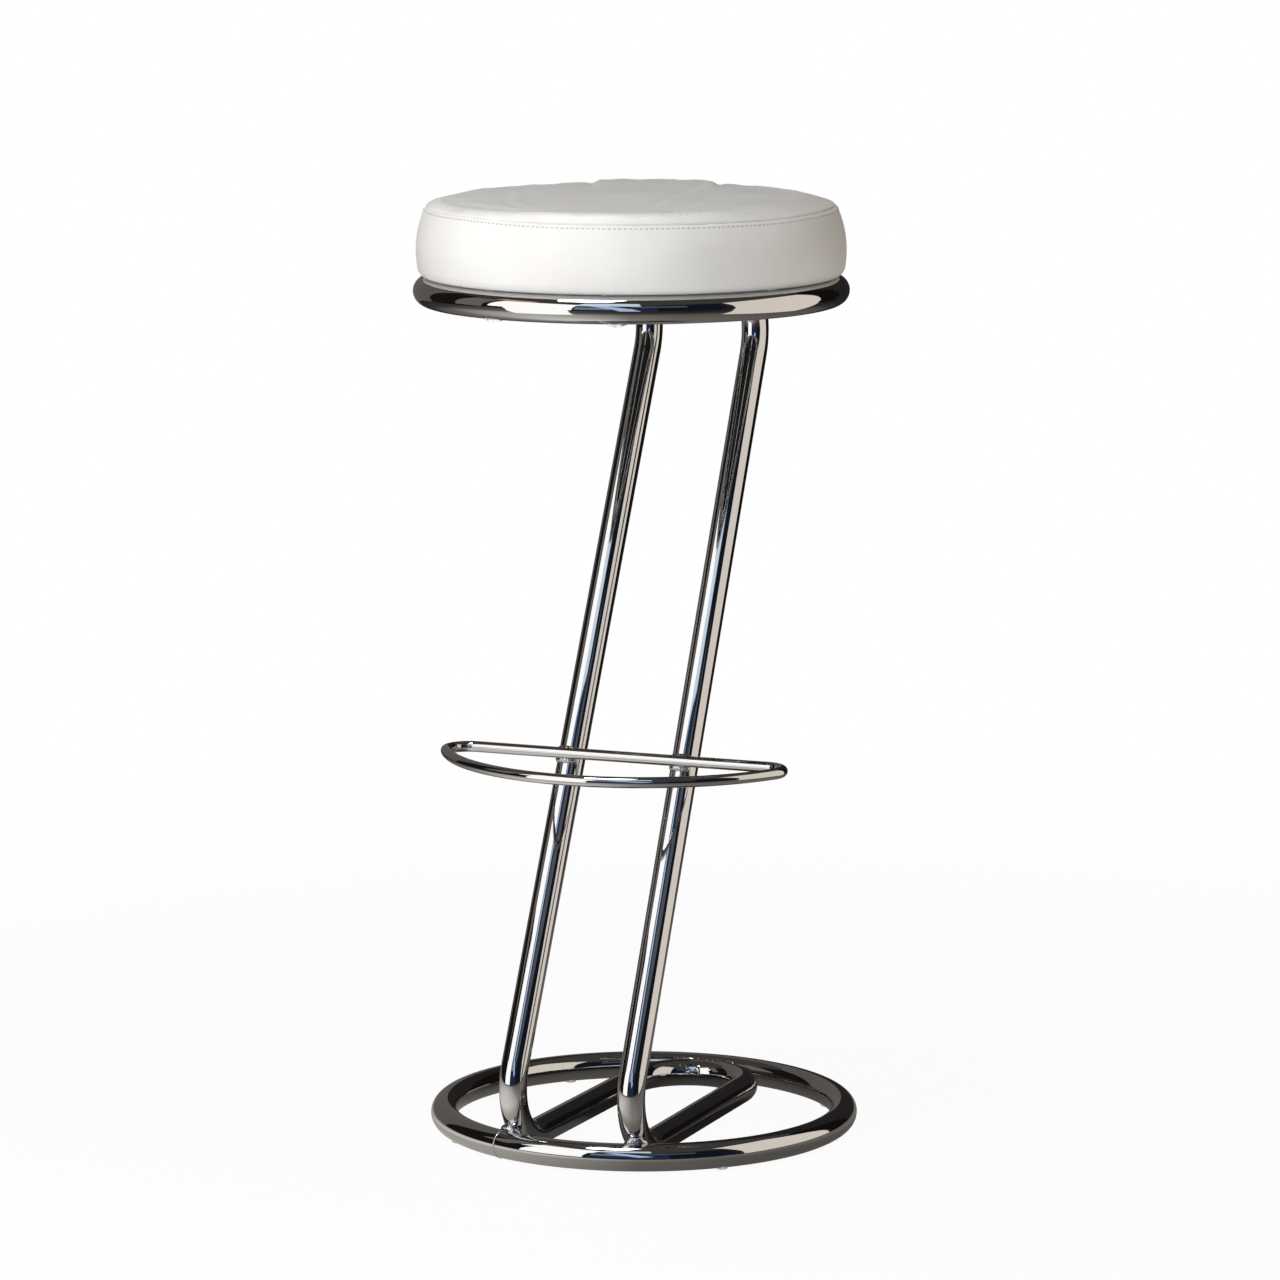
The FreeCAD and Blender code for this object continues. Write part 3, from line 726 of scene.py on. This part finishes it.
    def build(self) -> bpy.types.Object:
        """Makes the cushion's cover.

        Returns:
            The finished piece.
        """
        form = self.turn_form()
        apply_modifier(form, "REMESH", mode="VOXEL", voxel_size=self.voxel)
        self.plump(form)
        apply_modifier(form, "SUBSURF", levels=1, render_levels=1)
        self.fit_outline(form)
        self.fold(form)
        self.sew_seam(form)
        self.hollow(form)
        select_only(form)
        bpy.ops.object.shade_smooth_by_angle(angle=math.radians(60))
        dress(form, WhiteLeather())
        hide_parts("cover_top_panel", "cover_side_band", "seat_foam")
        settle(form)
        return form


@dataclass
class TopStitching:
    """Row of stitches on the band, a little below the seam, each pulled into the leather."""

    drop: float = 3.0 * MM
    pitch: float = 4.6 * MM
    length: float = 2.9 * MM
    thread: float = 1.0 * MM
    pulled_in: float = 0.1 * MM

    def stitch(self) -> bpy.types.Object:
        """Makes one stitch, lying along X at the origin."""
        bpy.ops.object.select_all(action="DESELECT")
        bpy.ops.mesh.primitive_cube_add(size=1)
        made = bpy.context.object
        made.name = "top_stitching"
        bpy.ops.object.mode_set(mode="EDIT")
        bpy.ops.mesh.select_all(action="SELECT")
        bpy.ops.transform.resize(value=(self.length, self.thread, self.thread))
        bpy.ops.mesh.bevel(offset=self.thread * 0.3, segments=1, affect="EDGES")
        bpy.ops.object.mode_set(mode="OBJECT")
        return made

    def build(self, cushion: bpy.types.Object, seat: SeatCushion) -> None:
        """Copies a stitch round the band and joins the copies to one piece.

        Args:
            cushion: finished cover, whose surface the stitches follow.
            seat: its sizes.
        """
        one = self.stitch()
        tree = BVHTree.FromObject(cushion, bpy.context.evaluated_depsgraph_get())
        count = round(2 * math.pi * seat.seam[0] / self.pitch)
        height = seat.seam[1] - self.drop
        copies = []
        for index in range(count):
            turn = 2 * math.pi * index / count
            out = Vector((math.cos(turn), math.sin(turn), 0))
            level = seat.bottom + height - float(seat.sink(turn, height))
            start = Vector((seat.axis[0], seat.axis[1], level)) + out * 0.3
            hit, normal, _, _ = tree.ray_cast(start, -out)
            along = Vector((-out.y, out.x, 0))
            along = (along - normal * along.dot(normal)).normalized()
            up = normal.cross(along)
            turned = Matrix((along, up, normal)).transposed().to_4x4()
            placed = Matrix.Translation(hit - normal * self.pulled_in) @ turned
            copy = one.copy()
            copy.data = one.data.copy()
            copy.data.transform(placed)
            bpy.context.scene.collection.objects.link(copy)
            copies.append(copy)
        bpy.data.objects.remove(one)
        select_only(copies[0])
        for copy in copies:
            copy.select_set(True)
        bpy.ops.object.join()
        dress(copies[0], SewingThread())
        settle(copies[0])


class Hold(Enum):
    """How a sheet is held."""

    STRETCHED = "stretched"


@dataclass
class DustCover:
    """Black cloth under the board, with soft puckers towards its edge."""

    radius: float = 155 * MM
    top: float = 785.4 * MM
    thickness: float = 0.5 * MM
    pucker: float = 0.15 * MM
    pucker_count: int = 24
    hold: Hold = Hold.STRETCHED

    def build(self, seat: SeatCushion) -> None:
        """Makes the cloth as a disc of rings, puckered and given its thickness."""
        bpy.ops.object.select_all(action="DESELECT")
        level = self.top - self.thickness - 2 * self.pucker
        bpy.ops.mesh.primitive_circle_add(
            vertices=192, radius=self.radius, fill_type="NGON",
            location=(seat.axis[0], seat.axis[1], level))
        cloth = bpy.context.object
        cloth.name = "dust_cover"
        bpy.ops.object.transform_apply(location=True, rotation=False, scale=False)
        bpy.ops.object.mode_set(mode="EDIT")
        bpy.ops.mesh.select_all(action="SELECT")
        for _ in range(9):
            bpy.ops.mesh.inset(thickness=self.radius / 11, depth=0)
        bpy.ops.mesh.poke()
        bpy.ops.object.mode_set(mode="OBJECT")
        places = coordinates(cloth)
        reach, turn, _ = seat.polar(places)
        share = reach / self.radius
        places[:, 2] += (self.pucker * share ** 3 * np.cos(turn * self.pucker_count)
                         + 0.1 * MM * np.cos(share * 9))
        move_vertices(cloth, places)
        select_only(cloth)
        bpy.ops.object.mode_set(mode="EDIT")
        bpy.ops.mesh.select_all(action="SELECT")
        bpy.ops.mesh.normals_make_consistent(inside=False)
        bpy.ops.object.mode_set(mode="OBJECT")
        apply_modifier(cloth, "SOLIDIFY", thickness=self.thickness, offset=0.0)
        bpy.ops.object.shade_smooth_by_angle(angle=math.radians(40))
        dress(cloth, SpunbondCloth())
        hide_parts("underside_lining")
        settle(cloth)


@dataclass
class ChromeFrame:
    """Packed metal and small parts, which keep their shapes and get their finishes."""

    tubes: tuple[str, ...] = ("base_ring", "frame_tube", "seat_ring", "footrest_loop")
    welds: tuple[str, ...] = ("base_front_welds", "base_rear_welds", "seat_front_welds",
                              "seat_rear_welds", "footrest_welds", "ring_seam_welds")
    zinc: tuple[str, ...] = ("cover_staples", "tee_nuts", "seat_screws", "screw_washers")

    def build(self) -> None:
        """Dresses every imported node."""
        groups = ((self.tubes, ChromePlate()), (self.welds, WeldChrome()),
                  (self.zinc, ZincSteel()), (("floor_glides",), MouldedNylon()),
                  (("seat_board",), BirchPlywood()), (("underside_lining",), SpunbondCloth()),
                  (("seat_foam", "cover_top_panel", "cover_side_band"), WhiteLeather()))
        for names, finish in groups:
            for name in names:
                dress(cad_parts[name], finish)
                log.info("%s: %s", name, finish.title)


class Glow(Enum):
    """What a studio panel is for, which says who sees it."""

    LAMP = "soft box that the metal does not show"
    # Glowing cards, no lamps, that paint reflections into the metal and light nothing.
    CARD = "card that only shows in the metal"


@dataclass
class Panel:
    """Upright board round the stool, by its bearing, distance and edges: a soft box lamp, or a
    glowing card that paints a reflection into the metal.

    The bearing is 0 in front of the stool and 90 on its right, and a level of 1 looks white.
    """

    name: str
    bearing: float
    distance: float
    width: float
    low: float
    high: float
    colour: str
    level: float = 1.0
    lean: float = 0.0
    use: Glow = Glow.CARD

    def frame(self) -> Matrix:
        """Place of the board's middle, its front to the stool."""
        turn = math.radians(self.bearing)
        away = Vector((math.sin(turn), -math.cos(turn), 0))
        across = Vector((math.cos(turn), math.sin(turn), 0))
        middle = away * self.distance + Vector((0, 0, (self.low + self.high) / 2))
        facing = Matrix((across, Vector((0, 0, 1)), away)).transposed().to_4x4()
        tilt = Matrix.Rotation(math.radians(self.lean), 4, "Z")
        return Matrix.Translation(middle) @ facing @ tilt

    def build(self) -> None:
        """Hangs the panel."""
        if self.use is Glow.CARD:
            self.hang_reflection_card()
        else:
            self.hang_lamp()
        log.info("%s: %s", self.name, self.use.value)

    def hang_lamp(self) -> None:
        """Makes an area lamp whose face has the panel's level, unseen in the metal."""
        tall = self.high - self.low
        light = bpy.data.lights.new(self.name, "AREA")
        light.shape = "RECTANGLE"
        light.size = self.width
        light.size_y = tall
        light.energy = math.pi * self.width * tall * self.level
        light.color = linear(self.colour)[:3]
        lamp = bpy.data.objects.new(self.name, light)
        lamp.matrix_world = self.frame()
        lamp.visible_camera = False
        lamp.visible_glossy = False
        bpy.context.scene.collection.objects.link(lamp)

    def hang_reflection_card(self) -> None:
        """Makes a glowing card from a plane: a painted reflection that only the metal shows."""
        bpy.ops.object.select_all(action="DESELECT")
        bpy.ops.mesh.primitive_plane_add(size=1)
        card = bpy.context.object
        card.name = self.name
        card.data.transform(self.frame() @ Matrix.Diagonal(
            (self.width, self.high - self.low, 1, 1)))
        show_in_metal(card, reflection_glow_paint(self.name, self.colour, self.level))


def reflection_glow_paint(title: str, colour: str, level: float) -> bpy.types.Material:
    """Glow of one even tone, no lamp, that paints a reflection into the metal.

    Args:
        title: what the card is.
        colour: sRGB hex tone.
        level: how bright it looks, where 1 shows the tone as it is.

    Returns:
        The material.
    """
    material = bpy.data.materials.new(title + " paper")
    material.use_nodes = True
    tree = material.node_tree
    glow = add_node(tree, "Emission", inputs={"Color": linear(colour), "Strength": level})
    tree.links.new(glow.outputs["Emission"], tree.nodes["Material Output"].inputs["Surface"])
    return material


def show_in_metal(card: bpy.types.Object, reflection_glow: bpy.types.Material) -> None:
    """Lets only mirror reflections see a glowing card: a painted reflection out of the picture,
    which lights nothing and casts no shadow.

    Args:
        card: mesh of the card.
        reflection_glow: its glowing material.
    """
    card.data.materials.append(reflection_glow)
    card.visible_camera = False
    card.visible_diffuse = False
    card.visible_shadow = False
    card.visible_transmission = False
    card.visible_volume_scatter = False


@dataclass
class Studio:
    """Pale floor and white surroundings, with soft boxes and glowing cards, no lamps, that paint
    reflections into the metal.
    """

    floor_size: float = 60.0
    diffuse_level: float = 0.03
    room: float = 3.2
    room_height: float = 3.4
    top_place: tuple[float, float, float] = (-0.28, -0.62, 2.6)
    top_size: float = 0.7
    top_level: float = 13.6
    floor_share: float = 0.95
    lit_side: tuple[float, float, float] = (-0.616, -0.788, 0.0)
    panels: list[Panel] = field(default_factory=lambda: [
        Panel("key_box_low", -25, 1.15, 0.70, 0.05, 0.86, "fffdfb", 1.2, 0.0, Glow.LAMP),
        Panel("key_box_high", -29, 1.15, 0.96, 0.86, 1.65, "fffdfb", 1.2, 0.0, Glow.LAMP),
        # Painted highlight: glowing cards that show the key lamp's face in the metal at 1.72,
        # brighter than the lamp's own 1.2, and light nothing.
        Panel("painted_key_highlight_low", -25, 1.14, 0.70, 0.05, 0.86, "fffdfb", 1.72),
        Panel("painted_key_highlight_high", -29, 1.14, 0.96, 0.86, 1.65, "fffdfb", 1.72),
        Panel("right_fill", 14, 2.20, 1.00, 0.30, 1.50, "ffffff", 5.5, 0.0, Glow.LAMP),
        Panel("left_fill", -80, 2.50, 1.20, 0.30, 1.50, "ffffff", 2.7, 0.0, Glow.LAMP),
        Panel("warm_fill", 132, 1.10, 1.00, 0.20, 1.50, "fff4e6", 1.10, 0.0, Glow.LAMP),
        # Glowing cards, no lamps, from here on: painted reflections of a warm board, sky, streaks,
        # greys and the dark room round the stool.
        Panel("warm_board", 102, 0.92, 1.02, 0.01, 1.50, "fff4e6", 1.06),
        Panel("sky_strip", 10, 1.50, 0.95, 1.65, 2.70, "dbe8f6", 1.3),
        Panel("warm_rim", -48, 1.17, 0.55, 1.68, 1.95, "f0b48c"),
        Panel("sky_streak", 13, 3.0, 0.50, 0.60, 3.00, "a9bedb", 1.5, 29.0),
        Panel("pale_patch", 3, 3.05, 1.00, 1.20, 1.95, "8b99ae"),
        Panel("grey_edge", -66, 1.35, 0.46, 0.66, 1.75, "7d7773"),
        Panel("grey_haze", 38, 3.1, 2.0, 1.95, 2.60, "64656e"),
        Panel("front_navy", 16, 3.2, 2.8, 0.0, 3.4, "28364f"),
        Panel("front_black", 54, 3.2, 2.1, 0.0, 3.4, "171d2a"),
        Panel("right_dark", 98, 3.2, 3.2, 0.0, 3.4, "2a2725"),
        Panel("right_back_black", 148, 3.2, 2.9, 0.0, 3.4, "171514"),
        Panel("front_left_black", -30, 3.2, 2.8, 0.0, 3.4, "1c1a19"),
        Panel("left_black", -80, 3.2, 3.3, 0.0, 3.4, "1d1b1a"),
        Panel("left_grey", -132, 3.2, 3.3, 0.0, 3.4, "6a6561"),
        Panel("back_grey", 180, 3.1, 2.5, 0.0, 3.4, "2a2827"),
    ])

    def white_for_seen_rays(self, tree: bpy.types.NodeTree) -> bpy.types.NodeSocket:
        """Says 1 where the camera, a mirror or clear material looks, and 0 for light.

        Args:
            tree: node tree that gets the nodes.

        Returns:
            The output with that value.
        """
        path = add_node(tree, "LightPath")
        total = path.outputs["Is Camera Ray"]
        for other in ("Is Glossy Ray", "Is Transmission Ray"):
            step = add_node(tree, "Math", {"operation": "MAXIMUM"},
                            {0: total, 1: path.outputs[other]})
            total = step.outputs["Value"]
        return total

    def build_world(self) -> None:
        """Sets white surroundings that give the object only a plain level of light."""
        world = bpy.data.worlds.new("studio_white")
        bpy.context.scene.world = world
        world.use_nodes = True
        tree = world.node_tree
        back = tree.nodes["Background"]
        level = spread(tree, self.white_for_seen_rays(tree), self.diffuse_level, 1.0)
        feed(tree, back, {"Color": (1, 1, 1, 1), "Strength": level})

    def build_floor(self) -> None:
        """Lays the pale floor, which keeps the stool's soft shadow."""
        bpy.ops.object.select_all(action="DESELECT")
        bpy.ops.mesh.primitive_plane_add(size=self.floor_size)
        floor = bpy.context.object
        floor.name = "studio_floor"
        material = bpy.data.materials.new("matt white floor paint")
        material.use_nodes = True
        tree = material.node_tree
        matt = tree.nodes["Principled BSDF"]
        feed(tree, matt, {
            "Base Color": linear("f2f1ef"), "Roughness": 0.9, "Specular IOR Level": 0.0})
        glow = add_node(tree, "Emission", inputs={"Color": (1, 1, 1, 1), "Strength": 1.0})
        reach = add_node(tree, "VectorMath", {"operation": "LENGTH"},
                         {0: object_coordinates(tree)})
        seen = spread(tree, reach.outputs["Value"], self.floor_share, 1.0, 0.5, 2.0)
        share = add_node(tree, "Math", {"operation": "MULTIPLY"},
                         {0: self.white_for_seen_rays(tree), 1: seen})
        mixed = add_node(tree, "MixShader", inputs={
            0: share.outputs["Value"], 1: matt.outputs["BSDF"], 2: glow.outputs["Emission"]})
        tree.links.new(mixed.outputs["Shader"],
                       tree.nodes["Material Output"].inputs["Surface"])
        floor.data.materials.append(material)

    def lay_card(self, name: str, height: float, colour: str) -> bpy.types.Material:
        """Lays or hangs a level glowing card as wide as the studio, a painted reflection that only
        the metal shows.

        Args:
            name: what the card is.
            height: its height above the floor.
            colour: sRGB hex tone.

        Returns:
            Its glowing material.
        """
        bpy.ops.object.select_all(action="DESELECT")
        bpy.ops.mesh.primitive_plane_add(size=2.4 * self.room, location=(0, 0, height))
        card = bpy.context.object
        card.name = name
        bpy.ops.object.transform_apply(location=True, rotation=False, scale=False)
        reflection_glow = reflection_glow_paint(name, colour, 1.0)
        show_in_metal(card, reflection_glow)
        return reflection_glow

    def build_floor_reflection(self) -> None:
        """Lays the glowing card that paints the floor into the undersides' reflections: a painted
        pool of key light on the lit side, painted shadow under and round the stool, and painted
        light that dims far off.
        """
        tree = self.lay_card("floor_reflection_card", 0.2 * MM, "9c948d").node_tree
        place = object_coordinates(tree)
        heading = add_node(tree, "VectorMath", {"operation": "NORMALIZE"}, {0: place})
        ahead = add_node(tree, "VectorMath", {"operation": "DOT_PRODUCT"}, {
            0: heading.outputs["Vector"], 1: self.lit_side})
        share = spread(tree, ahead.outputs["Value"], 0.0, 1.0, -1.0, 1.0)
        # Painted reflection of the key's pool of light on the floor, brightest towards the lit
        # side.
        painted_key_pool_by_side = blend_ramp(tree, share, [
            (0.0, linear("7f7872")), (0.15, linear("837c76")), (0.5, linear("88817b")),
            (0.75, linear("a09891")), (0.9, linear("dcd5cd")), (1.0, linear("fdf6ee"))])
        reach = add_node(tree, "VectorMath", {"operation": "LENGTH"}, {0: place})
        far = spread(tree, reach.outputs["Value"], 0.0, 1.0, end=self.room)
        # Painted shadow by distance from the middle: dark under the stool, grey at the base ring's
        # foot, white just outside it, then painted light dimming far off.
        painted_shade_by_reach = blend_ramp(tree, far, [
            (0.0, linear("505050")), (0.042, linear("505050")), (0.057, linear("c4c4c4")),
            (0.063, linear("c4c4c4")), (0.075, linear("ffffff")),
            (0.2, linear("e4e4e4")), (0.39, linear("c8c8c8")), (0.53, linear("7c7c7c")),
            (0.8, linear("606060"))])
        tone = add_node(tree, "Mix", {"data_type": "RGBA", "blend_type": "MULTIPLY"}, {
            "Factor": 1.0, "A": painted_key_pool_by_side, "B": painted_shade_by_reach})
        tree.links.new(tone.outputs["Result"], tree.nodes["Emission"].inputs["Color"])

    def build_ceiling_reflection(self) -> None:
        """Hangs a dark glowing card, a painted reflection of a dark ceiling, that the upper sides
        of the metal show.
        """
        self.lay_card("ceiling_reflection_card", self.room_height, "4a4643")

    def hang_top_lamp(self) -> None:
        """Hangs the small lamp over the seat, a little to the front and left."""
        light = bpy.data.lights.new("top_lamp", "AREA")
        light.shape = "SQUARE"
        light.size = self.top_size
        light.energy = math.pi * self.top_size ** 2 * self.top_level
        lamp = bpy.data.objects.new("top_lamp", light)
        lamp.location = self.top_place
        lamp.visible_camera = False
        bpy.context.scene.collection.objects.link(lamp)

    def build(self) -> None:
        """Sets up floor, surroundings, lamps and the glowing cards painted into the metal's
        reflections.
        """
        self.build_world()
        self.build_floor()
        self.build_floor_reflection()
        self.build_ceiling_reflection()
        self.hang_top_lamp()
        for panel in self.panels:
            panel.build()


@dataclass
class PhotoCamera:
    """Long lens at the height and turn of the photograph."""

    azimuth: float = 22.724
    elevation: float = 8.981
    roll: float = -0.118
    distance: float = 5.4
    focal_length: float = 167.4
    aim_right: float = -2.773 * MM
    aim_up: float = 436.587 * MM
    base_centre: tuple[float, float, float] = (0.0, 12.75 * MM, 13.5 * MM)

    def build(self) -> None:
        """Sets the camera."""
        a, e = math.radians(self.azimuth), math.radians(self.elevation)
        away = Vector((math.sin(a) * math.cos(e), -math.cos(a) * math.cos(e), math.sin(e)))
        right = Vector((math.cos(a), math.sin(a), 0))
        aim = (Vector(self.base_centre) + right * self.aim_right
               + Vector((0, 0, self.aim_up)))
        up = away.cross(right)
        roll = math.radians(self.roll)
        r2 = right * math.cos(roll) + up * math.sin(roll)
        u2 = up * math.cos(roll) - right * math.sin(roll)
        data = bpy.data.cameras.new("photo_camera")
        data.lens = self.focal_length
        data.sensor_width = 36
        data.clip_end = 200
        camera = bpy.data.objects.new("photo_camera", data)
        turned = Matrix((r2, u2, away)).transposed().to_4x4()
        camera.matrix_world = Matrix.Translation(aim + away * self.distance) @ turned
        bpy.context.scene.collection.objects.link(camera)
        bpy.context.scene.camera = camera


def main() -> None:
    """Builds and dresses the stool and its studio."""
    logging.basicConfig(level=logging.INFO, format="%(name)s: %(message)s")
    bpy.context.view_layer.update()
    bpy.context.scene.view_settings.view_transform = "Standard"
    PhotoCamera().build()
    ChromeFrame().build()
    seat = SeatCushion()
    cushion = seat.build()
    TopStitching().build(cushion, seat)
    DustCover().build(seat)
    Studio().build()


if __name__ == "__main__":
    main()
